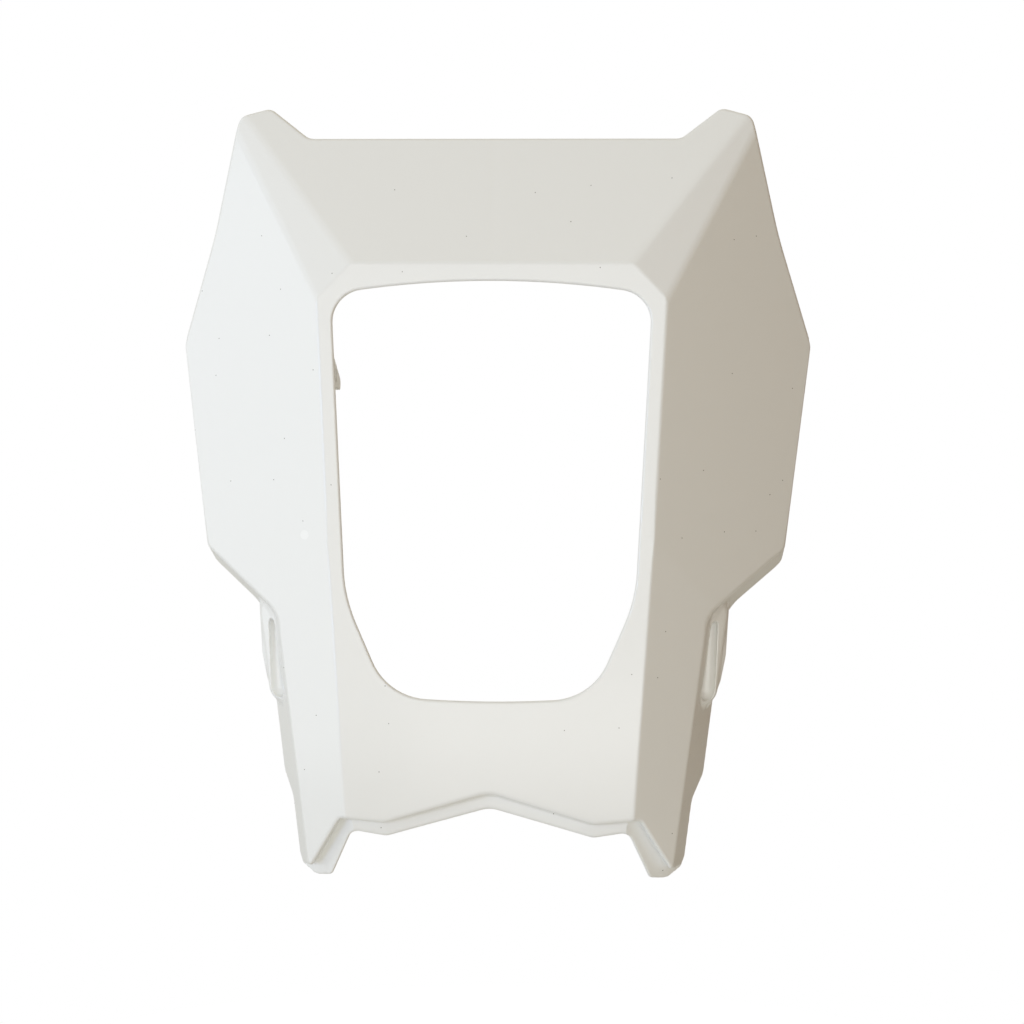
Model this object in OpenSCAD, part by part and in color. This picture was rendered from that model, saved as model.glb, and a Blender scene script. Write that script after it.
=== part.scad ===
// Headlight cowl for an off-road motorbike: one injection-moulded shell with an open lamp window.
// Millimetres. +X points to the rider's left, the face looks to -Y, +Z is up.
// The shapes are laid out from the face plane (y = 0) and the mid-plane (x = 0), then moved so that
// the origin is midway between the two bracket screws, in the plane of their boss faces.

/* [Shell] */
// Wall thickness of the moulding
wall = 2.5; // [2:0.1:3.2]
// Edge radius along the ridges beside the face
ridge_r = 2.8; // [2:0.2:7]
// Edge radius between the face and the top panel
brow_r = 4; // [3:0.5:6]

/* [Face] */
// Half width of the face at its shoulders
face_half = 70.4; // [67:0.2:73]
// Height of the shoulders
shoulder_z = 85.5; // [82:0.5:88]
// Half width of the straight top edge of the face
brow_half = 56.9; // [52:0.5:60]
// Height of the top edge of the face
brow_z = 99.8; // [97:0.5:104]
// Half width of the face where the legs begin
waist_half = 65.5; // [63.6:0.1:66.6]
// Height where the legs begin
waist_z = -11; // [-16:0.5:-6]
// Half width of the face at its lower end
foot_half = 58.2; // [55:0.5:60]
// Height of the lower end of the face's ridges
foot_z = -123.6; // [-128:0.5:-120]
// How far the lower end of the face leans back
foot_back = 3.3; // [1.5:0.1:6]
// Radius of the soft fold across the face where the legs begin
fold_r = 1500; // [1000:100:2000]

/* [Top panel and ears] */
// Depth of the top panel's upper edge behind the face
top_back = 25.5; // [20:0.5:30]
// Height of the top panel's upper edge
top_z = 155.2; // [151:0.2:158]
// Half width of the notch between the ears
notch_half = 77.4; // [72:0.5:82]
// Inner top corner of an ear, across and up
ear_inner = [94.6, 169.4]; // [90:0.2:172]
// Outer top corner of an ear, across and up
ear_outer = [107.2, 165.6]; // [100:0.2:168]
// Point where the ear's facet meets the wing, across and up
ear_root = [109, 160]; // [100:0.5:165]
// Edge radius of the ear's facet towards the wing
ear_wing_r = 8; // [5:1:12]
// Edge radius of the ear's facet towards the top panel
ear_top_r = 14; // [8:1:20]

/* [Wings] */
// Widest point of a wing: across, depth and height
wing_tip = [135.8, 56.6, 73.4]; // [50:0.2:140]
// Bend in the wing's upper edge, across and up
wing_bend = [119.8, 117.5]; // [110:0.5:122]
// Lower outer corner of a wing, across and up
wing_low = [124.2, -15]; // [-20:0.5:130]
// Neck between wing and leg, across and up
neck = [89.6, -41.6]; // [-45:0.2:93]
// Radius of the neck's hollow corner
neck_r = 14; // [8:1:18]
// Outward flare of the flange under the wing, degrees
flange_flare = 13; // [6:1:18]
// Outward flare of the wing's side flange, degrees
side_flare = 6; // [2:1:10]
// Depth of the flange's rear edge at the wing's lower corner
flange_back = 74; // [68:1:80]

/* [Legs] */
// Upper end of a leg's outer edge, across and up
leg_top = [88.2, -48]; // [-50:0.5:92]
// Lower end of a leg's outer edge, across and up
leg_low = [75, -146]; // [-150:0.5:78]
// Outward flare of a leg's side wall, degrees
leg_flare = 20; // [12:1:24]
// Edge radius between leg and side wall
leg_r = 3.5; // [2.6:0.1:5]
// Depth of the side wall's rear edge
wall_back = 47; // [43:0.5:50]
// Depth of the side wall's rear edge below its step
wall_back_low = 34.5; // [33:0.5:41]
// Height of the step in the side wall's rear edge
wall_step_z = -114; // [-120:0.5:-108]

/* [Lower edge] */
// Height of the lower edge on the mid-plane
peak_z = -113.6; // [-116:0.2:-111]
// Low point of the lower edge, across and up
valley = [42, -125.9]; // [-128:0.5:46]
// Corner where the lower edge meets a leg, across and up
crotch = [60.4, -124.2]; // [-128:0.2:63]
// Inner corner of a leg's tip, across and up
tip_in = [73.6, -146.2]; // [-148:0.2:74.5]
// How far the lower lip is set back behind the face
lip_step = 6; // [5:0.2:8]
// How far the lip reaches below the lower edge on the mid-plane
lip_drop = 6.6; // [4:0.2:8]
// Inner corner of the lip at a leg, across and up
lip_crotch = [56.2, -129.8]; // [-133:0.2:58]
// Inner tip of the lip on a leg, across and up
lip_tip = [65.4, -150]; // [-153:0.2:68]

/* [Lamp window] */
// Half width of the window near its top
window_top_half = 64.5; // [62:0.1:66]
// Height of the window's top corners
window_top_z = 87.4; // [85:0.2:88.6]
// Rise from there to where the two halves of the top edge would meet
window_crown = 8.8; // [5:0.2:9.4]
// Half width of the window where its sides turn in
window_bend_half = 58.3; // [57:0.1:59.5]
// Height where the window's sides turn in
window_bend_z = -34.8; // [-38:0.2:-30]
// Half width of the window's lower corners
window_low_half = 41.1; // [38:0.1:44]
// Height of the window's lower corners
window_low_z = -74.8; // [-77:0.2:-72]
// Drop of the window's bottom edge on the mid-plane
window_sag = 2; // [1:0.2:4]
// Radius of the window's top corners
window_r = 13; // [8:1:16]
// Radius of the window's lower corners
window_low_r = 25; // [16:1:28]

/* [Strap pockets] */
// Radius of the rounded pod on each side wall
pod_r = 8; // [6.5:0.5:9]
// Height of the pod's lower end
pod_low_z = -81; // [-83:0.5:-76]
// Height of the pod's upper end
pod_high_z = -42; // [-46:0.5:-40]
// Radius of the scoop in the pod's front at its lower end
scoop_r = 4; // [3.5:0.1:4.4]
// Radius of the scoop at its upper end
scoop_top_r = 2.4; // [2:0.1:3]
// Half width of the neck's rear bulge
bulge_half = 98.6; // [97:0.2:100]

/* [Lamp lugs] */
// Gap between the window's edge and the inner face of a lamp lug
lug_clear = 0.2; // [0.1:0.1:0.8]
// Thickness of a lamp lug
lug_t = 3; // [2:0.2:3.6]
// How far a lug reaches back behind the face
lug_back = 34; // [30:0.5:40]
// Height of the lamp's pivot screws
pivot_z = 56; // [54:0.5:60]
// Depth of the lamp's pivot screws
pivot_back = 19; // [16:0.5:21]
// Hole for an M5 pivot screw
pivot_bore_d = 5.3; // [4.2:0.1:5.6]
// Outside diameter of the collar around a pivot screw
pivot_collar_d = 10; // [9:0.2:11]
// Length of the bore through lug and collar
pivot_len = 6; // [5:0.5:8]

/* [Screw bosses] */
// Distance between the two bracket screws
bracket_span = 184; // [176:1:192]
// Height of the bracket screws
bracket_z = 118; // [112:1:122]
// Depth of the bracket bosses' rear faces
bracket_back = 44; // [40:1:50]
// Pilot hole for a 5 mm screw that cuts its own thread
pilot_d = 4.2; // [3.4:0.1:4.6]
// Depth of the pilot holes
pilot_depth = 15; // [12:0.5:16]
// Outside diameter of the screw bosses
boss_d = 11; // [9:0.5:13]
// Height of the lamp's aiming screw
aim_z = -93; // [-98:1:-90]
// Depth of the aiming boss's rear face
aim_back = 25; // [23:1:32]

/* [Ribs] */
// Thickness of the stiffening ribs
rib_t = 1.8; // [1.4:0.1:2.2]
// How far the rib behind the top panel stands out
rib_h = 9; // [6:0.5:14]

/* [Hidden] */

reach = 700;
far = 230;
lug_x = window_top_half + lug_clear;
arc_step = 9;
shell_white = [0.9, 0.9, 0.89];

// Plane helpers. A plane is [outward unit normal, distance from the origin].
function unit(v) = v / norm(v);
function facing(n, v) = n * v < 0 ? -n : n;
function plane_at(p, n) = [n, n * p];
function plane_3(p, q, r, out) = plane_at(p, facing(unit(cross(q - p, r - p)), out));
function mirrored(pl) = [[-pl[0].x, pl[0].y, pl[0].z], pl[1]];
function both(list) = concat(list, [for (pl = list) mirrored(pl)]);
function depth_on(pl, x, z) = (pl[1] - pl[0].x * x - pl[0].z * z) / pl[0].y;
function lifted(pl, p) = [p.x, depth_on(pl, p.x, p.y), p.y];

// Flat strips, tangent to a radius r, that round the edge between planes a and b.
function strips(a, b, r, count) =
    let (turn = acos(a[0] * b[0]))
    [for (i = [1 : count])
        let (t = i / (count + 1), ka = sin((1 - t) * turn) / sin(turn), kb = sin(t * turn) / sin(turn))
        [ka * a[0] + kb * b[0], ka * (a[1] - r) + kb * (b[1] - r) + r]];

// Outline helpers, for closed lists of points that run anticlockwise.
function quarter(v) = [-v.y, v.x];
function turned(v, a) = [v.x * cos(a) - v.y * sin(a), v.x * sin(a) + v.y * cos(a)];
function at(list, i) = list[(i + len(list)) % len(list)];
function bend(list, i) = cross(at(list, i) - at(list, i - 1), at(list, i + 1) - at(list, i));
function corner_arc(p, a, b, r) =
    let (u = unit(a - p), v = unit(b - p), half = acos(u * v) / 2,
        c = p + unit(u + v) * r / sin(half), s = p + u * r / tan(half) - c,
        e = p + v * r / tan(half) - c, turn = (180 - 2 * half) * sign(cross(s, e)),
        n = ceil(max(2, abs(turn) / arc_step, norm(e - s) / 14)))
    [for (i = [0 : n]) c + turned(s, turn * i / n)];
function rounded(list, radii) =
    [for (i = [0 : len(list) - 1])
        each radii[i] > 0 ? corner_arc(list[i], at(list, i - 1), at(list, i + 1), radii[i]) : [list[i]]];
function inset(list, d) =
    [for (i = [0 : len(list) - 1])
        let (na = quarter(unit(list[i] - at(list, i - 1))), nb = quarter(unit(at(list, i + 1) - list[i])))
        list[i] + (na + nb) * d / (1 + na * nb)];
function inset_radii(list, radii, d) =
    [for (i = [0 : len(list) - 1]) radii[i] > 0 ? max(0.3, radii[i] - d * sign(bend(list, i))) : 0];
function flipped(list) = [for (i = [len(list) - 1 : -1 : 0]) [-list[i].x, list[i].y]];
function backwards(list) = [for (i = [len(list) - 1 : -1 : 0]) list[i]];

// Facets of the front, each a plane through points read from the photo.
front = [0, -1, 0];
face = plane_at([0, 0, 0], front);
shoulder = [face_half, 0, shoulder_z];
brow = [brow_half, 0, brow_z];
waist = [waist_half, 0, waist_z];
foot = [foot_half, foot_back, foot_z];
face_low = plane_3(waist, foot, [-waist_half, 0, waist_z], front);
top_panel = plane_3(brow, [-brow_half, 0, brow_z], [0, top_back, top_z], front);
wing = plane_3(shoulder, waist, wing_tip, front);
leg = plane_3(waist, foot, lifted(wing, neck + [1.2, 4.5]), front);
ear = plane_3(shoulder, brow, lifted(wing, ear_root), front);

front_planes = concat(
    [face, face_low, top_panel],
    strips(face, face_low, fold_r, 2),
    strips(face, top_panel, brow_r, 3),
    both(concat(
        [wing, leg, ear],
        strips(face, wing, ridge_r, 4),
        strips(face_low, leg, ridge_r, 4),
        strips(wing, leg, 60, 2),
        strips(ear, wing, ear_wing_r, 2),
        strips(ear, top_panel, ear_top_r, 2),
        strips(face, ear, brow_r, 2))));

// Side walls. Each plane holds one edge of the front and leans outwards as it runs back.
function wall_plane(p, q, flare) =
    let (out = unit([q.z - p.z, 0, p.x - q.x]), side = out.x < 0 ? -out : out,
        n = unit(cross(q - p, [0, cos(flare), 0] + side * sin(flare))))
    plane_at(p, facing(n, side));
wing_low_3 = lifted(wing, wing_low);
leg_side = wall_plane(lifted(leg, leg_top), lifted(leg, leg_low), leg_flare);
wing_under = wall_plane(wing_low_3, lifted(wing, neck), flange_flare);
wing_side = wall_plane(wing_tip, wing_low_3, side_flare);
wing_upper = wall_plane(lifted(wing, wing_bend), wing_tip, 0);
leg_planes = concat([leg_side], strips(leg, leg_side, leg_r, 3));
wing_outer = concat([wing_side], strips(wing_upper, wing_side, 8, 3));
wing_planes = concat([wing_under], wing_outer, strips(wing, wing_under, 3, 2),
    strips(wing_side, wing_under, 6, 3));
neck_strips = strips(leg_side, wing_under, -neck_r, 4);

// Outlines seen from the front, right half, from bottom to top.
run_on = unit([wing_tip.x, wing_tip.z] - wing_bend) * 60;
upper_half = [[far, -far], [far, 0], [wing_tip.x, wing_tip.z] + run_on, wing_bend, ear_outer, ear_inner,
    [notch_half, top_z]];
upper_half_r = [0, 0, 0, 160, 5, 4.5, 6];
upper_outline = concat(upper_half, flipped(upper_half));
upper_radii = concat(upper_half_r, backwards(upper_half_r));

lower_half = [valley, crotch, tip_in, [far, tip_in.y - 1]];
lower_half_r = [7, 3, 1.2, 0];
lower_outline = concat([[0, peak_z]], lower_half, [[far, far], [-far, far]], flipped(lower_half));
lower_radii = concat([14], lower_half_r, [0, 0], backwards(lower_half_r));

lip_half = [[valley.x, valley.y - lip_drop + 0.4], lip_crotch, lip_tip, [leg_low.x - 0.6, lip_tip.y - 1.6],
    [far, lip_tip.y - 3]];
lip_half_r = [6, 4, 2.6, 1.5, 0];
lip_outline = concat([[0, peak_z - lip_drop]], lip_half, [[far, peak_z + 9.6], [-far, peak_z + 9.6]],
    flipped(lip_half));
lip_radii = concat([12], lip_half_r, [0, 0], backwards(lip_half_r));

window_half = [[window_low_half, window_low_z], [window_bend_half, window_bend_z],
    [window_top_half, window_top_z]];
window_outline = concat([[0, window_low_z - window_sag]], window_half, [[0, window_top_z + window_crown]],
    flipped(window_half));
window_radii = [420, window_low_r, 60, window_r, 380, window_r, 60, window_low_r];

bulge_outline = [[80, neck.y + 12], [80, -83.5], [bulge_half - 7, -81.5], [bulge_half - 2.6, -71],
    [bulge_half - 0.4, -60], [bulge_half + 1.4, neck.y + 12]];
bulge_radii = [0, 0, 3, 12, 12, 0];

// Side view of what the walls keep, as [depth, height].
rear_line = [[-30, -far], [lip_step + 11, -far], [lip_step + 15, lip_tip.y - 5], [wall_back_low, lip_tip.y + 6],
    [wall_back_low, wall_step_z - 6], [wall_back, wall_step_z + 3], [wall_back, neck.y - 5.5],
    [flange_back, wing_low.y - 9], [flange_back, wing_low.y + 3], [90, wing_low.y + 3], [90, far],
    [-30, far]];
rear_radii = [0, 0, 0, 3, 5, 5, 8, 3, 0, 0, 0, 0];
flange_end = [[-60, wing_low.y + 99], [flange_back + 90, wing_low.y - 63], [flange_back + 90, far],
    [-60, far]];

module behind(pl, d) {
    rotate([0, acos(pl[0].z), atan2(pl[0].y, pl[0].x)])
        translate([0, 0, pl[1] - d - reach / 2])
            cube(reach, center = true);
}

module within(planes, d) {
    intersection_for (pl = planes)
        behind(pl, d);
}

module seen_from_front(y0, y1) {
    translate([0, y1, 0])
        rotate([90, 0, 0])
            linear_extrude(y1 - y0)
                children();
}

module seen_from_side(half) {
    rotate([90, 0, 90])
        linear_extrude(half * 2, center = true)
            children();
}

module above_lower_edge(d) {
    seen_from_front(-60, far)
        polygon(rounded(inset(lower_outline, d), inset_radii(lower_outline, lower_radii, d)));
}

module right_side(d) {
    union() {
        within(leg_planes, d);
        within(wing_planes, d);
        for (pl = neck_strips)
            within(concat([pl], wing_outer), d);
        seen_from_front(wall_back - 9 + d, far)
            polygon(rounded(inset(bulge_outline, d), inset_radii(bulge_outline, bulge_radii, d)));
    }
}

module outside(d) {
    intersection() {
        right_side(d);
        mirror([1, 0, 0])
            right_side(d);
    }
}

// A round-ended bar along a leg's outer edge, its inner side parallel to that edge.
// Distances are from the edge: across and back.
module leg_bar(r, top_r, across, back, low, high) {
    lean = atan((leg_top.x - leg_low.x) / (leg_top.y - leg_low.y));
    mid = leg_low.x + (low - leg_low.y) * tan(lean);
    length = high - low - r;
    for (side = [0, 1])
        mirror([side, 0, 0])
            translate([mid + across, depth_on(leg, mid, low) + back, low + r])
                rotate([0, lean - atan((r - top_r) / length), 0])
                    rotate_extrude($fn = 48)
                        polygon(concat([for (a = [-90 : 15 : 0]) r * [cos(a), sin(a)]],
                            [for (a = [0 : 30 : 90]) [0, length] + top_r * [cos(a), sin(a)]]));
}

module scoop(d) {
    leg_bar(scoop_r + d, scoop_top_r + d, 5.3, 9.4, pod_low_z + 2.8 - d, pod_high_z - 5);
}

module outer_form() {
    intersection() {
        union() {
            outside(0);
            intersection() {
                leg_bar(pod_r, pod_r, 2.6, 14.6, pod_low_z, pod_high_z);
                within(front_planes, 3);
            }
        }
        union() {
            intersection() {
                within(front_planes, 0);
                above_lower_edge(0);
            }
            intersection() {
                within(front_planes, lip_step);
                seen_from_front(-60, far)
                    polygon(rounded(lip_outline, lip_radii));
            }
        }
        seen_from_front(-60, far)
            polygon(rounded(upper_outline, upper_radii));
        seen_from_side(far)
            polygon(rounded(rear_line, rear_radii));
    }
}

// The scoop keeps a wall of its own on the inside, so it stands there as a bump.
module hollow() {
    difference() {
        intersection() {
            union() {
                outside(wall);
                seen_from_side(far + 1)
                    polygon(flange_end);
            }
            union() {
                intersection() {
                    within(front_planes, wall);
                    above_lower_edge(wall);
                }
                within(front_planes, lip_step + wall);
            }
        }
        scoop(wall);
    }
}

module shell() {
    difference() {
        outer_form();
        hollow();
        seen_from_front(-60, 30)
            polygon(rounded(window_outline, window_radii));
        scoop(0);
    }
}

module lamp_lug() {
    translate([lug_x, 0, 0]) {
        rotate([90, 0, 90])
            linear_extrude(lug_t)
                polygon(rounded([[0, pivot_z - 5], [lug_back, pivot_z - 5], [lug_back, pivot_z - 0.5],
                    [0, pivot_z + 12.3]], [0, 1.5, 2, 0]));
        translate([0, pivot_back, pivot_z])
            rotate([0, 90, 0])
                cylinder(d = pivot_collar_d, h = pivot_len, $fn = 64);
    }
}

module screw_boss(x, z, back) {
    translate([x, back, z])
        rotate([90, 0, 0])
            cylinder(d = boss_d, h = back, $fn = 64);
}

module top_rib() {
    difference() {
        translate([-rib_t / 2, 0, brow_z + 3])
            cube([rib_t, far, top_z - brow_z - 7]);
        within([top_panel], wall + rib_h);
    }
}

module fittings() {
    intersection() {
        union() {
            for (side = [0, 1])
                mirror([side, 0, 0]) {
                    lamp_lug();
                    screw_boss(bracket_span / 2, bracket_z, bracket_back);
                    translate([bracket_span / 2 - rib_t / 2, 0, bracket_z - 22])
                        cube([rib_t, bracket_back - 8, 44]);
                }
            screw_boss(0, aim_z, aim_back);
            translate([-22, 0, aim_z - rib_t / 2])
                cube([44, aim_back - 12, rib_t]);
            top_rib();
        }
        within(front_planes, wall / 2);
    }
}

module bores() {
    for (side = [0, 1])
        mirror([side, 0, 0]) {
            translate([lug_x - 1, pivot_back, pivot_z])
                rotate([0, 90, 0])
                    cylinder(d = pivot_bore_d, h = pivot_len + 2, $fn = 64);
            translate([bracket_span / 2, bracket_back + 1, bracket_z])
                rotate([90, 0, 0])
                    cylinder(d = pilot_d, h = pilot_depth + 1, $fn = 64);
        }
    translate([0, aim_back + 1, aim_z])
        rotate([90, 0, 0])
            cylinder(d = pilot_d, h = pilot_depth + 1, $fn = 64);
}

module cowl() {
    color(shell_white)
        translate([0, -bracket_back, -bracket_z])
            difference() {
                union() {
                    shell();
                    fittings();
                }
                bores();
            }
}

cowl();
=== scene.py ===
"""Headlight cowl for an off-road motorbike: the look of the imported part, in one shared frame.

The shell is worked out once more from the part's facets and outlines, in millimetres from the face plane and
the mid-plane, this time as a distance field, so that every edge gets the soft rounding of a moulding. The
field is then meshed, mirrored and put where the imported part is.
"""

import math

import bpy
import numpy as np
from mathutils import Matrix, Vector


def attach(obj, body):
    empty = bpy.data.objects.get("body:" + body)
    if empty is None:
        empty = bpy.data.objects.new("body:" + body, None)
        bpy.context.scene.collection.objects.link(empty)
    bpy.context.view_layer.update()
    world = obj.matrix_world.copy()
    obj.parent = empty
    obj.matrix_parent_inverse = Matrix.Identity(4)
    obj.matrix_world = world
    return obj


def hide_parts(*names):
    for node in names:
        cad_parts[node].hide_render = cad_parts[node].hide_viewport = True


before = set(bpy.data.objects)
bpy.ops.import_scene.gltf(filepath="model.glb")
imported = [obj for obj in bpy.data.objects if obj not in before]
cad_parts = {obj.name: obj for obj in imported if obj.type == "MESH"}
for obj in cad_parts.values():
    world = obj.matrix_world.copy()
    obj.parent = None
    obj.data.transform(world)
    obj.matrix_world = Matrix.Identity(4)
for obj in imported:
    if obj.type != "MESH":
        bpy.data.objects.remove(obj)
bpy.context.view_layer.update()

MM = 0.001
PART_ORIGIN = np.array([0, 44, 118])

# The part's sizes in millimetres, as (across, up) or (across, back, up).
WALL = 2.5
FACE_SHOULDER = (70.4, 0, 85.5)
FACE_BROW = (56.9, 0, 99.8)
FACE_WAIST = (65.5, 0, -11)
FACE_FOOT = (58.2, 3.3, -123.6)
TOP_EDGE = (0, 25.5, 155.2)
EAR_ROOT = (109, 160)
WING_TIP = (135.8, 56.6, 73.4)
WING_BEND = (119.8, 117.5)
WING_LOW = (124.2, -15)
NECK = (89.6, -41.6)
LEG_TOP = (88.2, -48)
LEG_LOW = (75, -146)
LEG_FLARE, UNDER_FLARE, SIDE_FLARE = 20, 13, 6
FLANGE_BACK = 74
WALL_BACK, WALL_BACK_LOW, WALL_STEP_UP = 47, 34.5, -114
LIP_STEP, LIP_DROP = 6, 6.6
PEAK_UP = -113.6
VALLEY = (42, -125.9)
LIP_TIP = (65.4, -150)
LUG_IN, LUG_T = 64.7, 3
PIVOT_BACK, PIVOT_UP, PIVOT_R, PIVOT_EYE_R = 19, 56, 2.65, 5
BOSS_R, PILOT_R, PILOT_DEEP = 5.5, 2.1, 15
BRACKET = (92, 44, 118)
AIMING = (0, 25, -93)
RIB_T = 1.8
POD_R, POD_LOW, POD_HIGH = 8, -81, -42
POD_PLACE = (2.6, 14.6)
SCOOP_R, SCOOP_TOP_R = 4, 2.4
SCOOP_PLACE = (5.3, 9.4)
SCOOP_UP, SCOOP_DOWN = 2.8, 5
BEHIND_FRONT = 3

# Edge roundings, in millimetres.
ROUND_OUTLINE = 1.2
ROUND_WINDOW = 1.0
ROUND_LOWER = 2.0
ROUND_LIP = 1.3
ROUND_FREE = 0.7
ROUND_SCOOP = 0.6
ROUND_INSIDE = 0.8
FILLET = 1.2
POD_FILLET = 2

# The rounded corner between front and side walls: the cosine of its angle and its radius, at these heights.
CORNER_UP = [-52, -40, -20, 5]
CORNER_COSINE = [0.85, 0.58, 0.58, 0.72]
CORNER_R = [3.5, 3, 3, 1.6]

# Meshing: step of the fine grid and number of steps in a block, the meshed space (low corner and size), then
# the share of faces that is kept and the length under which an edge is closed up.
GRID = 0.6
BLOCK = 7
SPACE_LOW = (-0.5 * GRID, -2.1, -154.0)
SPACE_SIZE = (138, 79, 326)
KEPT_SHARE = 0.19
SHORT_EDGE = 0.1

# Camera: where it stands, in millimetres from the face plane, and how it is turned, in degrees.
CAMERA_PLACE = (28, -680, 0)
CAMERA_YAW = 1.62
CAMERA_ROLL = 0.29
CAMERA_LENS = 59.77
SENSOR = 36


def unit(v):
    v = np.asarray(v, float)
    return v / np.linalg.norm(v)


def plane(point, normal):
    """A facet: its outward direction and its distance from the origin."""
    return unit(normal), float(unit(normal) @ np.asarray(point, float))


def plane_through(p, q, r, out=(0, -1, 0)):
    """The facet through three points that faces along out."""
    normal = np.cross(np.subtract(q, p), np.subtract(r, p))
    return plane(p, normal if normal @ np.asarray(out) > 0 else -normal)


def lifted(facet, p):
    """The point of a facet at (across, up)."""
    n, d = facet
    return np.array([p[0], (d - n[0] * p[0] - n[2] * p[1]) / n[1], p[1]])


def wall_plane(p, q, flare):
    """The side wall on the edge p-q of a facet, leaning outwards by flare degrees as it runs back."""
    out = unit([q[2] - p[2], 0, p[0] - q[0]])
    side = out if out[0] > 0 else -out
    lean = math.radians(flare)
    normal = np.cross(q - p, np.array([0, math.cos(lean), 0]) + side * math.sin(lean))
    return plane(p, normal if normal @ side > 0 else -normal)


FACE = plane((0, 0, 0), (0, -1, 0))
FACE_LOW = plane_through(FACE_WAIST, FACE_FOOT, (-FACE_WAIST[0], 0, FACE_WAIST[2]))
TOP = plane_through(FACE_BROW, (-FACE_BROW[0], 0, FACE_BROW[2]), TOP_EDGE)
WING = plane_through(FACE_SHOULDER, FACE_WAIST, WING_TIP)
LEG = plane_through(FACE_WAIST, FACE_FOOT, lifted(WING, (NECK[0] + 1.2, NECK[1] + 4.5)))
EAR = plane_through(FACE_SHOULDER, FACE_BROW, lifted(WING, EAR_ROOT))
LEG_SIDE = wall_plane(lifted(LEG, LEG_TOP), lifted(LEG, LEG_LOW), LEG_FLARE)
WING_UNDER = wall_plane(lifted(WING, WING_LOW), lifted(WING, NECK), UNDER_FLARE)
WING_SIDE = wall_plane(np.array(WING_TIP), lifted(WING, WING_LOW), SIDE_FLARE)
WING_UPPER = wall_plane(lifted(WING, WING_BEND), np.array(WING_TIP), 0)


def height(facet, p):
    """Signed distance of points p = (x, y, z) from a facet, negative inside."""
    n, d = facet
    return n[0] * p[0] + n[1] * p[1] + n[2] * p[2] - d


def rolled(a, b, cosine, r, away=None):
    """The larger of two distances, with the edge between them rounded by radius r.
    away takes the place of the larger one where there is no rounding."""
    u, v = a + r, b + r
    along_a = (u - cosine * v) / (1 - cosine**2)
    along_b = (v - cosine * u) / (1 - cosine**2)
    arc = np.sqrt(np.maximum(along_a * u + along_b * v, 0)) - r
    return np.where((along_a > 0) & (along_b > 0), arc, np.maximum(a, b) if away is None else away)


def rolled_edge(p, a, b, r):
    """Distance to two facets with the ridge between them rounded by radius r."""
    return rolled(height(a, p), height(b, p), float(a[0] @ b[0]), r)


def round_max(a, b, r):
    """Both shapes at once, with a rounded edge where they meet."""
    return np.minimum(-r, np.maximum(a, b)) + np.hypot(np.maximum(r + a, 0), np.maximum(r + b, 0))


def round_min(a, b, r):
    """Either shape, with a fillet where they meet."""
    return -round_max(-a, -b, r)


def rounded(points, radii, degrees=6, length=4):
    """A closed outline with its corners turned into arcs."""
    result = []
    for i, (p, r) in enumerate(zip(points, radii)):
        if r == 0:
            result.append(p)
            continue
        u, v = unit(points[i - 1] - p), unit(points[(i + 1) % len(points)] - p)
        half = math.acos(float(u @ v)) / 2
        centre = p + unit(u + v) * r / math.sin(half)
        start = p + u * r / math.tan(half) - centre
        end = p + v * r / math.tan(half) - centre
        turn = math.copysign(math.pi - 2 * half, start[0] * end[1] - start[1] * end[0])
        count = math.ceil(max(2, abs(math.degrees(turn)) / degrees, np.linalg.norm(end - start) / length))
        for k in range(count + 1):
            c, s = math.cos(turn * k / count), math.sin(turn * k / count)
            result.append(centre + np.array([c * start[0] - s * start[1], s * start[0] + c * start[1]]))
    return np.array(result)


class Outline:
    """Signed distance to a closed outline, negative inside, kept on a flat grid."""

    def __init__(self, points, radii, low, high, step=0.5):
        loop = rounded([np.asarray(p, float) for p in points], radii)
        self.low, self.step = np.array(low, float), step
        nu, nv = (int((high[k] - low[k]) / step) + 2 for k in (0, 1))
        u, v = np.meshgrid(low[0] + step * np.arange(nu), low[1] + step * np.arange(nv), indexing="ij")
        nearest = np.full(u.shape, 1e9)
        inside = np.zeros(u.shape, bool)
        for a, b in zip(loop, np.roll(loop, -1, axis=0)):
            e = b - a
            du, dv = u - a[0], v - a[1]
            t = np.clip((du * e[0] + dv * e[1]) / (e @ e), 0, 1)
            nearest = np.minimum(nearest, (du - t * e[0]) ** 2 + (dv - t * e[1]) ** 2)
            if a[1] != b[1]:
                inside ^= ((a[1] > v) != (b[1] > v)) & (du < e[0] * dv / e[1])
        self.grid = np.where(inside, -1, 1) * np.sqrt(nearest)

    def __call__(self, u, v):
        s, t = (u - self.low[0]) / self.step, (v - self.low[1]) / self.step
        i = np.clip(s.astype(int), 0, self.grid.shape[0] - 2)
        j = np.clip(t.astype(int), 0, self.grid.shape[1] - 2)
        s, t, g = s - i, t - j, self.grid
        low, high = (g[i, k] * (1 - s) + g[i + 1, k] * s for k in (j, j + 1))
        return low * (1 - t) + high * t


FAR = 230
FROM_FRONT = ((-6, -158), (142, 176))
FROM_SIDE = ((-6, -158), (80, 176))


def front_outline(half, radii, low=None, high=None):
    """A symmetric outline seen from the front, from its right half listed from bottom to top.
    low and high are the (height, radius) of corners on the mid-plane."""
    points = list(half) + ([(0, high[0])] if high else []) + [(-x, z) for x, z in reversed(half)]
    bends = list(radii) + ([high[1]] if high else []) + list(reversed(radii))
    if low:
        points, bends = [(0, low[0])] + points, [low[1]] + bends
    return Outline(points, bends, *FROM_FRONT)


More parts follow.
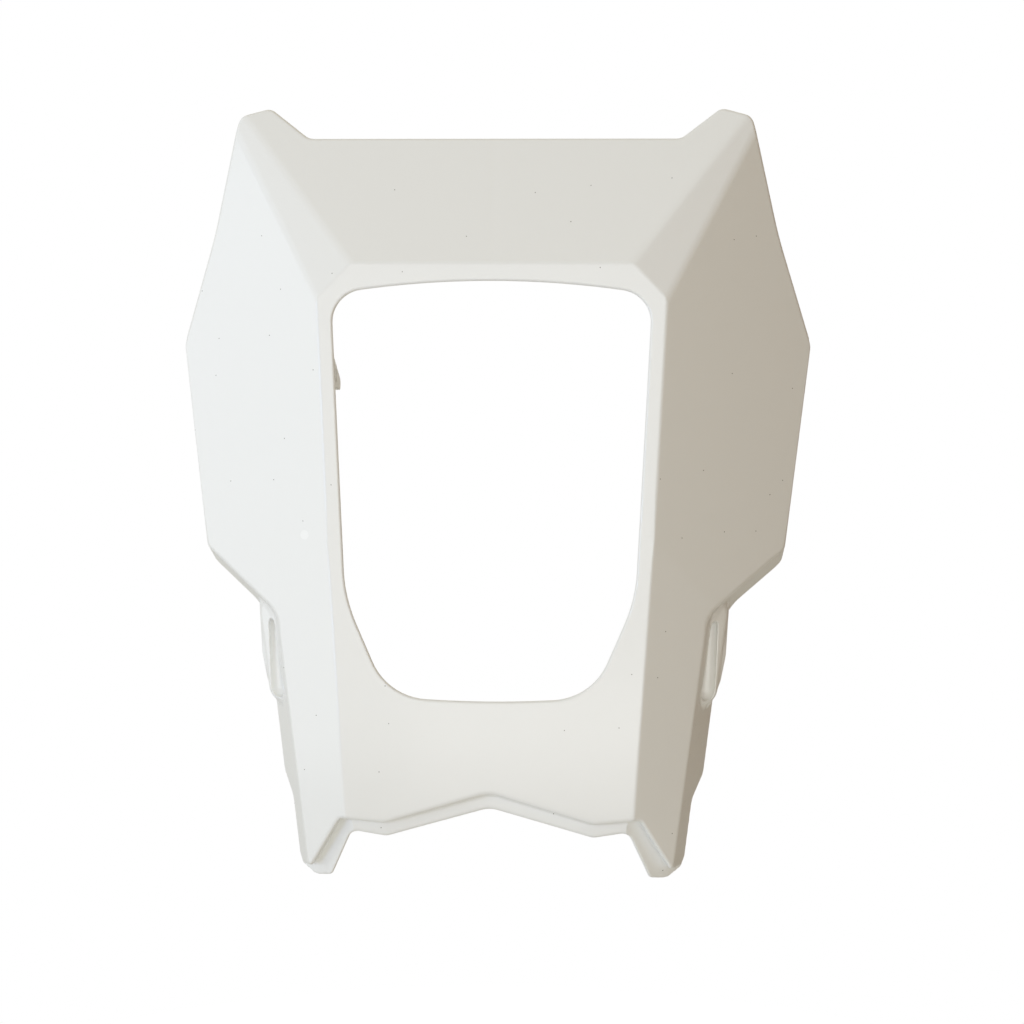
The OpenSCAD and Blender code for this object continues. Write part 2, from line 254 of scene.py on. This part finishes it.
run_on = np.add(unit(np.subtract((WING_TIP[0], WING_TIP[2]), WING_BEND)) * 60, (WING_TIP[0], WING_TIP[2]))
upper = front_outline(
    [(FAR, -FAR), (FAR, 0), tuple(run_on), WING_BEND, (107.2, 165.6), (94.6, 169.4), (77.4, TOP_EDGE[2])],
    [0, 0, 0, 160, 5, 4.5, 6],
)
lower = front_outline(
    [VALLEY, (60.4, -124.2), (73.6, -146.2), (FAR, -147.2), (FAR, FAR)],
    [7, 3, 1.2, 0, 0],
    low=(PEAK_UP, 14),
)
lip = front_outline(
    [
        (VALLEY[0], VALLEY[1] - LIP_DROP + 0.4),
        (56.2, -129.8),
        LIP_TIP,
        (LEG_LOW[0] - 0.6, LIP_TIP[1] - 1.6),
        (FAR, LIP_TIP[1] - 3),
        (FAR, PEAK_UP + 9.6),
    ],
    [6, 4, 2.6, 1.5, 0, 0],
    low=(PEAK_UP - LIP_DROP, 12),
)
window = front_outline(
    [(41.1, -74.8), (58.3, -34.8), (64.5, 87.4)], [25, 60, 13], low=(-76.8, 420), high=(96.2, 380)
)
bulge = Outline(
    [(80, NECK[1] + 12), (80, -83.5), (91.6, -81.5), (96, -71), (98.2, -60), (100, NECK[1] + 12)],
    [0, 0, 3, 12, 12, 0],
    *FROM_FRONT,
)
rear_line = Outline(
    [
        (-30, -FAR),
        (LIP_STEP + 11, -FAR),
        (LIP_STEP + 15, LIP_TIP[1] - 5),
        (WALL_BACK_LOW, LIP_TIP[1] + 6),
        (WALL_BACK_LOW, WALL_STEP_UP - 6),
        (WALL_BACK, WALL_STEP_UP + 3),
        (WALL_BACK, NECK[1] - 5.5),
        (FLANGE_BACK, WING_LOW[1] - 9),
        (FLANGE_BACK, WING_LOW[1] + 3),
        (90, WING_LOW[1] + 3),
        (90, FAR),
        (-30, FAR),
    ],
    [0, 0, 0, 3, 5, 5, 8, 3, 0, 0, 0, 0],
    *FROM_SIDE,
)
flange_end = Outline(
    [(-60, WING_LOW[1] + 99), (FLANGE_BACK + 90, WING_LOW[1] - 63), (FLANGE_BACK + 90, FAR), (-60, FAR)],
    [0, 0, 0, 0],
    *FROM_SIDE,
)
lug = Outline(
    [(0, PIVOT_UP - 5), (34, PIVOT_UP - 5), (34, PIVOT_UP - 0.5), (0, PIVOT_UP + 12.3)],
    [0, 1.5, 2, 0],
    *FROM_SIDE,
)


def leg_bar(p, r, top_r, place, low, high):
    """A round-ended bar along a leg's outer edge, its inner side parallel to that edge.
    place is how far its low end lies (across, back) from the edge."""
    lean = math.atan((LEG_TOP[0] - LEG_LOW[0]) / (LEG_TOP[1] - LEG_LOW[1]))
    middle = LEG_LOW[0] + (low - LEG_LOW[1]) * math.tan(lean)
    length = high - low - r
    start = (middle + place[0], lifted(LEG, (middle, low))[1] + place[1], low + r)
    tilt = lean - math.atan((r - top_r) / length)
    right, up = math.sin(tilt), math.cos(tilt)
    d = [p[k] - start[k] for k in range(3)]
    t = np.clip(d[0] * right + d[2] * up, 0, length)
    away = np.sqrt((d[0] - t * right) ** 2 + d[1] ** 2 + (d[2] - t * up) ** 2)
    return away - (r + (top_r - r) * t / length)


def scoop(p, d):
    """The trough beside a leg, grown by d."""
    low, high = POD_LOW + SCOOP_UP - d, POD_HIGH - SCOOP_DOWN
    return leg_bar(p, SCOOP_R + d, SCOOP_TOP_R + d, SCOOP_PLACE, low, high)


def box(p, low, high):
    """Distance to a box with square edges, negative inside."""
    parts = [np.maximum(low[k] - p[k], p[k] - high[k]) for k in range(3)]
    return np.maximum(np.maximum(parts[0], parts[1]), parts[2])


RIDGES = [
    (FACE, FACE_LOW, 1500),
    (FACE, TOP, 4),
    (FACE, WING, 2.8),
    (FACE_LOW, LEG, 2.4),
    (WING, LEG, 60),
    (EAR, WING, 8),
    (EAR, TOP, 14),
    (FACE, EAR, 4),
]


def front_of(p):
    """The faceted front with its ridges rounded."""
    value = rolled_edge(p, *RIDGES[0])
    for ridge in RIDGES[1:]:
        value = np.maximum(value, rolled_edge(p, *ridge))
    return value


def side_of(p):
    """The side walls, with the hollow neck between leg and wing and the bulge behind it."""
    leg_side, under, tip = height(LEG_SIDE, p), height(WING_UNDER, p), height(WING_SIDE, p)
    neck = -rolled(-leg_side, -under, float(LEG_SIDE[0] @ WING_UNDER[0]), 14)
    outer = rolled(height(WING_UPPER, p), tip, float(WING_UPPER[0] @ WING_SIDE[0]), 8, away=tip)
    wing = rolled(neck, outer, float(WING_UNDER[0] @ WING_SIDE[0]), 6)
    rear = round_max(bulge(p[0], p[2]), WALL_BACK - 9 - p[1], 1.5)
    return round_min(np.minimum(leg_side, wing), rear, 1.0)


def fittings_of(p):
    """Lamp lugs, screw bosses and ribs behind the shell, and the holes in them."""
    pivot = np.hypot(p[1] - PIVOT_BACK, p[2] - PIVOT_UP)
    parts = [
        np.maximum(lug(p[1], p[2]), np.abs(p[0] - LUG_IN - LUG_T / 2) - LUG_T / 2),
        np.maximum(pivot - PIVOT_EYE_R, np.maximum(LUG_IN - p[0], p[0] - LUG_IN - 6)),
        np.maximum(box(p, (-RIB_T / 2, 0, 102.8), (RIB_T / 2, 100, 151)), -(height(TOP, p) + WALL + 9)),
    ]
    holes = [np.maximum(pivot - PIVOT_R, np.maximum(LUG_IN - 1 - p[0], p[0] - LUG_IN - 7))]
    for at, low, high in (
        (BRACKET, (-RIB_T / 2, -BRACKET[1], -22), (RIB_T / 2, -8, 22)),
        (AIMING, (-22, -AIMING[1], -RIB_T / 2), (22, -12, RIB_T / 2)),
    ):
        away = np.hypot(p[0] - at[0], p[2] - at[2])
        parts += [round_max(away - BOSS_R, p[1] - at[1], 0.5), box(p, np.add(at, low), np.add(at, high))]
        holes += [np.maximum(away - PILOT_R, at[1] - PILOT_DEEP - p[1])]
    return np.minimum.reduce(parts), np.minimum.reduce(holes)


def shell_of(p):
    """The moulding's signed distance at points p = (|x|, y, z)."""
    front, side = front_of(p), side_of(p)
    lower_edge = lower(p[0], p[2])
    main = round_max(front, lower_edge, ROUND_LOWER)
    low_lip = round_max(front + LIP_STEP, lip(p[0], p[2]), ROUND_LIP)
    cosine = np.interp(p[2], CORNER_UP, CORNER_COSINE)
    corner = np.interp(p[2], CORNER_UP, CORNER_R)
    outer = rolled(round_min(main, low_lip, 1.5), side, cosine, corner)
    pod = round_max(leg_bar(p, POD_R, POD_R, POD_PLACE, POD_LOW, POD_HIGH), front + BEHIND_FRONT, 1)
    outer = round_max(round_min(outer, pod, POD_FILLET), upper(p[0], p[2]), ROUND_OUTLINE)
    outer = round_max(outer, rear_line(p[1], p[2]), ROUND_FREE)

    inner_side = np.minimum(side + WALL, flange_end(p[1], p[2]))
    inner_front = np.minimum(np.maximum(front, lower_edge) + WALL, front + LIP_STEP + WALL)
    inner = round_max(round_max(inner_side, inner_front, ROUND_INSIDE), -scoop(p, WALL), ROUND_INSIDE)
    value = round_max(outer, -inner, ROUND_FREE)
    value = round_max(value, -window(p[0], p[2]), ROUND_WINDOW)
    value = round_max(value, -scoop(p, 0), ROUND_SCOOP)
    fittings, holes = fittings_of(p)
    value = round_min(value, np.maximum(fittings, front + WALL / 2), FILLET)
    return round_max(value, -holes, 0.3)


def distance(points):
    """Distance field of the whole part at an array of points."""
    return shell_of((np.abs(points[..., 0]), points[..., 1], points[..., 2]))


def slope(points, step=0.12):
    """Direction in which the distance grows: the outward normal on the surface."""
    result = np.empty_like(points)
    for k in range(3):
        shift = step * np.eye(3)[k]
        result[:, k] = distance(points + shift) - distance(points - shift)
    return result / np.maximum(np.linalg.norm(result, axis=1, keepdims=True), 1e-9)


def put_on_surface(points, rounds=2):
    """Moves points onto the surface along its normal."""
    for _ in range(rounds):
        points = points - slope(points) * np.clip(distance(points), -0.3, 0.3)[:, None]
    return points


def meshed_half():
    """Vertices and quads of the half with x >= 0: one vertex in each grid cell that the surface crosses."""
    low = np.array(SPACE_LOW)
    counts = [math.ceil(s / (GRID * BLOCK)) for s in SPACE_SIZE]
    blocks = np.stack(np.meshgrid(*map(np.arange, counts), indexing="ij"), -1).reshape(-1, 3)
    reach = GRID * BLOCK * 1.25
    blocks = blocks[np.abs(distance(low + (blocks + 0.5) * GRID * BLOCK)) < reach] * BLOCK
    steps = np.stack(np.meshgrid(*[np.arange(BLOCK + 1)] * 3, indexing="ij"), -1)
    values = np.concatenate(
        [distance(low + (part[:, None, None, None, :] + steps) * GRID) for part in np.array_split(blocks, 10)]
    )

    # A corner is numbered 4 x + 2 y + z, so the next corner along an axis is 4, 2 or 1 further.
    corners = np.array([(i, j, k) for i in (0, 1) for j in (0, 1) for k in (0, 1)])
    solid = (values < 0).astype(int)
    inside = sum(solid[:, i : i + BLOCK, j : j + BLOCK, k : k + BLOCK] for i, j, k in corners)
    b, i, j, k = np.nonzero((inside > 0) & (inside < 8))
    cells = blocks[b] + np.stack([i, j, k], -1)
    at = np.stack([values[b, i + c[0], j + c[1], k + c[2]] for c in corners], -1)
    place, hits = np.zeros((len(cells), 3)), np.zeros((len(cells), 1))
    for axis, ahead in enumerate((4, 2, 1)):
        for m in range(8):
            if corners[m][axis]:
                continue
            crossed = ((at[:, m] < 0) != (at[:, m + ahead] < 0))[:, None]
            gap = np.where(crossed[:, 0], at[:, m] - at[:, m + ahead], 1)
            place += crossed * (corners[m] + np.outer(at[:, m] / gap, np.eye(3)[axis]))
            hits += crossed
    points = low + (cells + place / hits) * GRID
    points[cells[:, 0] == 0, 0] = 0

    span = np.array(counts) * BLOCK + 2
    number = (cells[:, 0] * span[1] + cells[:, 1]) * span[2] + cells[:, 2]
    order = np.argsort(number)
    quads = []
    for axis, ahead in enumerate((4, 2, 1)):
        crossed = ((at[:, 0] < 0) != (at[:, ahead] < 0)) & ((axis == 0) | (cells[:, 0] > 0))
        u, v = np.eye(3, dtype=int)[(axis + 1) % 3], np.eye(3, dtype=int)[(axis + 2) % 3]
        ring = [cells[crossed] - s for s in (u + v, v, 0 * u, u)]
        wanted = np.stack([(c[:, 0] * span[1] + c[:, 1]) * span[2] + c[:, 2] for c in ring], -1)
        ring = order[np.searchsorted(number[order], wanted)]
        turned = at[crossed, ahead] < 0
        ring[turned] = ring[turned][:, ::-1]
        quads.append(ring)
    return points, np.concatenate(quads)


def new_object(name, data):
    obj = bpy.data.objects.new(name, data)
    bpy.context.scene.collection.objects.link(obj)
    return obj


def applied(obj):
    """Applies the modifiers of an object to its mesh and returns the points."""
    bpy.context.view_layer.update()
    mesh = bpy.data.meshes.new_from_object(obj.evaluated_get(bpy.context.evaluated_depsgraph_get()))
    obj.modifiers.clear()
    obj.data = mesh
    points = np.empty(len(mesh.vertices) * 3, np.float32)
    mesh.vertices.foreach_get("co", points)
    return points.reshape(-1, 3).astype(float)


def set_points(obj, points):
    obj.data.vertices.foreach_set("co", points.astype(np.float32).ravel())
    obj.data.update()


points, quads = meshed_half()
points = put_on_surface(points)
mesh = bpy.data.meshes.new("cowl_shell")
mesh.from_pydata(points, [], quads)
cowl = new_object("cowl_shell", mesh)
cowl.modifiers.new("fewer_faces", "DECIMATE").ratio = KEPT_SHARE
cowl.modifiers.new("short_edges", "WELD").merge_threshold = SHORT_EDGE
points = applied(cowl)
points[np.abs(points[:, 0]) < 0.3 * GRID, 0] = 0
set_points(cowl, points)
cowl.modifiers.new("other_half", "MIRROR").merge_threshold = 0.01
points = applied(cowl)
middle = points[:, 0] == 0
points = put_on_surface(points)
points[middle, 0] = 0
normals = slope(points)
set_points(cowl, (points - PART_ORIGIN) * MM)
cowl.data.polygons.foreach_set("use_smooth", [True] * len(cowl.data.polygons))
cowl.data.normals_split_custom_set_from_vertices(normals.tolist())


def linear(hex_colour):
    """sRGB hex to linear colour with alpha."""
    parts = [int(hex_colour[i : i + 2], 16) / 255 for i in (0, 2, 4)]
    return [c / 12.92 if c <= 0.04045 else ((c + 0.055) / 1.055) ** 2.4 for c in parts] + [1]


def add(tree, kind, inputs=None, **settings):
    """Adds a node. An input is given by its name or number, as a value or as the socket to link to it."""
    node = tree.nodes.new(kind)
    for key, value in settings.items():
        setattr(node, key, value)
    for key, value in (inputs or {}).items():
        if isinstance(value, bpy.types.NodeSocket):
            tree.links.new(value, node.inputs[key])
        else:
            node.inputs[key].default_value = value
    return node


def empty_material(name):
    """A material with only its output node, and that node's surface socket."""
    made = bpy.data.materials.new(name)
    made.use_nodes = True
    made.node_tree.nodes.clear()
    return made, made.node_tree, add(made.node_tree, "ShaderNodeOutputMaterial").inputs["Surface"]


# White polypropylene, injection moulded. The front comes from a polished tool: a glossy skin with a very
# slight waviness that mirrors the room softly. The side walls and the inside come from an eroded tool: satin,
# with a fine grain. Sizes of the patterns are in millimetres, as the coordinates are scaled to them first.
plastic, tree, surface = empty_material("moulded_white_polypropylene")
source = add(tree, "ShaderNodeTexCoord")
place = add(
    tree, "ShaderNodeVectorMath", {0: source.outputs["Object"], "Scale": 1 / MM}, operation="SCALE"
).outputs[0]
axes = add(tree, "ShaderNodeSeparateXYZ", {0: place}).outputs
facing = add(tree, "ShaderNodeSeparateXYZ", {0: source.outputs["Normal"]}).outputs
satin = add(
    tree, "ShaderNodeMapRange", {"Value": facing["Y"], "From Min": -0.6, "From Max": -0.45}
).outputs[0]
front_place = add(tree, "ShaderNodeCombineXYZ", {0: axes["X"], 1: axes["Z"]}).outputs[0]

# Dust: one dark speck in some of the cells of 20 mm.
SPECK_CELL, SPECK_R = 20, 0.2
cells = {"Vector": front_place, "Scale": 1 / SPECK_CELL}
dust = add(tree, "ShaderNodeTexVoronoi", cells, voronoi_dimensions="2D").outputs
within = {0: dust["Distance"], 1: SPECK_R / SPECK_CELL}
near = add(tree, "ShaderNodeMath", within, operation="LESS_THAN").outputs[0]
some = add(tree, "ShaderNodeMath", {0: dust["Color"], 1: 0.58}, operation="GREATER_THAN").outputs[0]
speck = add(tree, "ShaderNodeMath", {0: near, 1: some}, operation="MULTIPLY").outputs[0]

# A pale round mark of 4 mm on the wing on the rider's right.
MARK = (-75.9, -127.7, 0)
away = add(tree, "ShaderNodeVectorMath", {0: front_place, 1: MARK}, operation="DISTANCE").outputs["Value"]
mark = add(
    tree, "ShaderNodeMapRange", {"Value": away, "From Min": 1.7, "From Max": 2.1, "To Min": 0.8, "To Max": 0}
)
white = add(
    tree, "ShaderNodeMix", {0: mark.outputs[0], 6: linear("EFEFED"), 7: linear("F6F6F4")}, data_type="RGBA"
)
dusty = add(tree, "ShaderNodeMix", {0: speck, 6: white.outputs[2], 7: linear("7C7870")}, data_type="RGBA")

# Relief in millimetres: waves of the glossy skin, grain of the satin walls, the sink line over the top rib.
WAVE_HEIGHT, GRAIN_HEIGHT, SINK_DEPTH, SCUFF_HEIGHT = 0.02, 0.03, 0.05, 0.12
waves = add(tree, "ShaderNodeTexNoise", {"Vector": place, "Scale": 1 / 14, "Detail": 0}).outputs[0]
bumps = add(tree, "ShaderNodeTexNoise", {"Vector": place, "Scale": 1 / 0.8, "Detail": 1}).outputs[0]
bumps = add(tree, "ShaderNodeMath", {0: bumps, 1: satin}, operation="MULTIPLY").outputs[0]
sink = add(tree, "ShaderNodeMath", {0: axes["X"], 1: 1 / 2.2}, operation="MULTIPLY").outputs[0]
sink = add(tree, "ShaderNodeMath", {0: sink, 1: sink}, operation="MULTIPLY").outputs[0]
sink = add(tree, "ShaderNodeMath", {0: math.exp(-1), 1: sink}, operation="POWER").outputs[0]
on_top = add(tree, "ShaderNodeMapRange", {"Value": axes["Z"], "From Min": -17, "From Max": -12}).outputs[0]
sink = add(tree, "ShaderNodeMath", {0: sink, 1: on_top}, operation="MULTIPLY").outputs[0]
relief = add(tree, "ShaderNodeMath", {0: waves, 1: WAVE_HEIGHT}, operation="MULTIPLY").outputs[0]
relief = add(
    tree, "ShaderNodeMath", {0: bumps, 1: GRAIN_HEIGHT, 2: relief}, operation="MULTIPLY_ADD"
).outputs[0]
relief = add(
    tree, "ShaderNodeMath", {0: sink, 1: -SINK_DEPTH, 2: relief}, operation="MULTIPLY_ADD"
).outputs[0]

# Scuffs: short, faint raised creases in patches, on the side walls' outside only.
crease = add(
    tree, "ShaderNodeTexVoronoi", {"Vector": place, "Scale": 1 / 3.2}, feature="DISTANCE_TO_EDGE"
).outputs[0]
crease = add(
    tree, "ShaderNodeMapRange", {"Value": crease, "From Max": 0.14, "To Min": 1, "To Max": 0}
).outputs[0]
patch = add(tree, "ShaderNodeTexNoise", {"Vector": place, "Scale": 1 / 6, "Detail": 2}).outputs[0]
patch = add(tree, "ShaderNodeMapRange", {"Value": patch, "From Min": 0.57, "From Max": 0.67}).outputs[0]
patch = add(tree, "ShaderNodeMath", {0: patch, 1: satin}, operation="MULTIPLY").outputs[0]
outward = add(tree, "ShaderNodeMath", {0: axes["X"], 1: 0.012}, operation="MULTIPLY").outputs[0]
outward = add(tree, "ShaderNodeMath", {0: outward, 1: facing["X"]}, operation="MULTIPLY").outputs[0]
outward = add(tree, "ShaderNodeMapRange", {"Value": outward, "From Min": 0.4, "From Max": 0.8}).outputs[0]
crease = add(tree, "ShaderNodeMath", {0: crease, 1: patch}, operation="MULTIPLY").outputs[0]
crease = add(tree, "ShaderNodeMath", {0: crease, 1: outward}, operation="MULTIPLY").outputs[0]
relief = add(
    tree, "ShaderNodeMath", {0: crease, 1: SCUFF_HEIGHT, 2: relief}, operation="MULTIPLY_ADD"
).outputs[0]
normal = add(tree, "ShaderNodeBump", {"Height": relief, "Distance": MM}).outputs[0]

# Roughness of the polished front and of the satin walls; the refractive index is that of polypropylene.
rough = add(tree, "ShaderNodeMapRange", {"Value": satin, "To Min": 0.14, "To Max": 0.4}).outputs[0]
shader = add(
    tree,
    "ShaderNodeBsdfPrincipled",
    {"Base Color": dusty.outputs[2], "Roughness": rough, "IOR": 1.49, "Normal": normal},
)
tree.links.new(shader.outputs[0], surface)
cowl.data.materials.clear()
cowl.data.materials.append(plastic)
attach(cowl, "root")
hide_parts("cowl")


def lamp(name, place, aim, size, strength, colour):
    """A rectangular soft light that points at a place. Metres and watts."""
    data = bpy.data.lights.new(name, "AREA")
    data.shape = "RECTANGLE"
    data.size, data.size_y = size
    data.energy = strength
    data.color = linear(colour)[:3]
    obj = new_object(name, data)
    obj.location = place
    obj.rotation_euler = (Vector(aim) - Vector(place)).to_track_quat("-Z", "Y").to_euler()
    return obj


# A cool window from the left in front, weaker light from the left side, a broad fill from the front, and
# faint light from behind, from low in front and from above.
MIDDLE = (0, 0, -0.11)
lamp("window_left", (-1.45, -1.4, -0.35), MIDDLE, (0.4, 1.1), 9.4, "A0C2FF")
lamp("window_side", (-1.8, -0.3, -0.15), MIDDLE, (1.4, 1.0), 4.3, "F2F7FF")
lamp("fill_front", (0.15, -2.0, -0.14), MIDDLE, (1.8, 1.0), 10.2, "FDFFFF")
lamp("back_fill", (0.5, 1.9, 0.5), MIDDLE, (1.4, 1.0), 1.5, "FFFFFF")
lamp("low_front", (0.25, -1.2, -0.45), MIDDLE, (0.8, 0.16), 0.5, "FFFCFA")
lamp("ceiling", (0.0, -0.6, 1.5), MIDDLE, (1.8, 1.2), 0.6, "FFFFFF")


def board(name, size, place, facing):
    """A flat board of the studio, which faces along a direction."""
    half_u, half_v = size[0] / 2, size[1] / 2
    mesh = bpy.data.meshes.new(name)
    corners = [(-half_u, -half_v, 0), (half_u, -half_v, 0), (half_u, half_v, 0), (-half_u, half_v, 0)]
    mesh.from_pydata(corners, [], [(0, 1, 2, 3)])
    obj = new_object(name, mesh)
    obj.location = place
    obj.rotation_euler = Vector(facing).to_track_quat("Z", "Y").to_euler()
    return obj


# Matt white paper floor: it keeps the shadow near the part and fades to the backdrop's white further away.
paper, tree, surface = empty_material("matt_white_paper")
seen = add(tree, "ShaderNodeLightPath").outputs["Is Camera Ray"]
place = add(tree, "ShaderNodeTexCoord").outputs["Object"]
away = add(tree, "ShaderNodeVectorMath", {0: place}, operation="LENGTH").outputs["Value"]
fade = add(tree, "ShaderNodeMapRange", {"Value": away, "From Min": 0.16, "From Max": 0.36}).outputs[0]
tint = add(
    tree, "ShaderNodeMix", {0: seen, 6: linear("E6E6E4"), 7: (2.1, 2.1, 2.3, 1)}, data_type="RGBA"
).outputs[2]
matt = add(tree, "ShaderNodeBsdfDiffuse", {"Color": tint}).outputs[0]
far_off = add(tree, "ShaderNodeMath", {0: fade, 1: seen}, operation="MULTIPLY").outputs[0]
bright = add(tree, "ShaderNodeEmission").outputs[0]
tree.links.new(add(tree, "ShaderNodeMixShader", {0: far_off, 1: matt, 2: bright}).outputs[0], surface)
board("floor", (1.6, 1.6), (0, 0, -0.42), (0, 0, 1)).data.materials.append(paper)

# Matt beige wall paint: a wall on the right that keeps light away and gives a warm tone. The camera looks
# through it.
wall, tree, surface = empty_material("matt_beige_wall_paint")
seen = add(tree, "ShaderNodeLightPath").outputs["Is Camera Ray"]
matt = add(tree, "ShaderNodeBsdfDiffuse", {"Color": linear("7E5F34")}).outputs[0]
clear = add(tree, "ShaderNodeBsdfTransparent").outputs[0]
tree.links.new(add(tree, "ShaderNodeMixShader", {0: seen, 1: matt, 2: clear}).outputs[0], surface)
board("wall_right", (2.4, 2.4), (0.72, -0.1, 0.2), (-1, 0, 0)).data.materials.append(wall)

# A soft, slightly warm room, and pure white behind the part for the camera.
world = bpy.data.worlds.new("studio")
bpy.context.scene.world = world
world.use_nodes = True
tree = world.node_tree
background = tree.nodes["Background"]
background.inputs["Color"].default_value = linear("FFFBEA")
background.inputs["Strength"].default_value = 0.66
seen = add(tree, "ShaderNodeLightPath").outputs["Is Camera Ray"]
bright = add(tree, "ShaderNodeBackground", {"Color": (1, 1, 1, 1), "Strength": 1}).outputs[0]
backdrop = add(tree, "ShaderNodeMixShader", {0: seen, 1: background.outputs[0], 2: bright}).outputs[0]
tree.links.new(backdrop, tree.nodes["World Output"].inputs["Surface"])

camera_data = bpy.data.cameras.new("camera")
camera = new_object("camera", camera_data)
camera_data.lens = CAMERA_LENS
camera_data.sensor_width = SENSOR
camera_data.clip_start, camera_data.clip_end = 0.05, 20
camera.rotation_mode = "QUATERNION"
turn = (
    Matrix.Rotation(math.radians(CAMERA_YAW), 3, "Z")
    @ Matrix.Rotation(math.radians(90), 3, "X")
    @ Matrix.Rotation(math.radians(CAMERA_ROLL), 3, "Z")
)
camera.rotation_quaternion = turn.to_quaternion()
camera.location = [(a - b) * MM for a, b in zip(CAMERA_PLACE, PART_ORIGIN)]
bpy.context.scene.camera = camera

bpy.context.scene.view_settings.view_transform = "Standard"
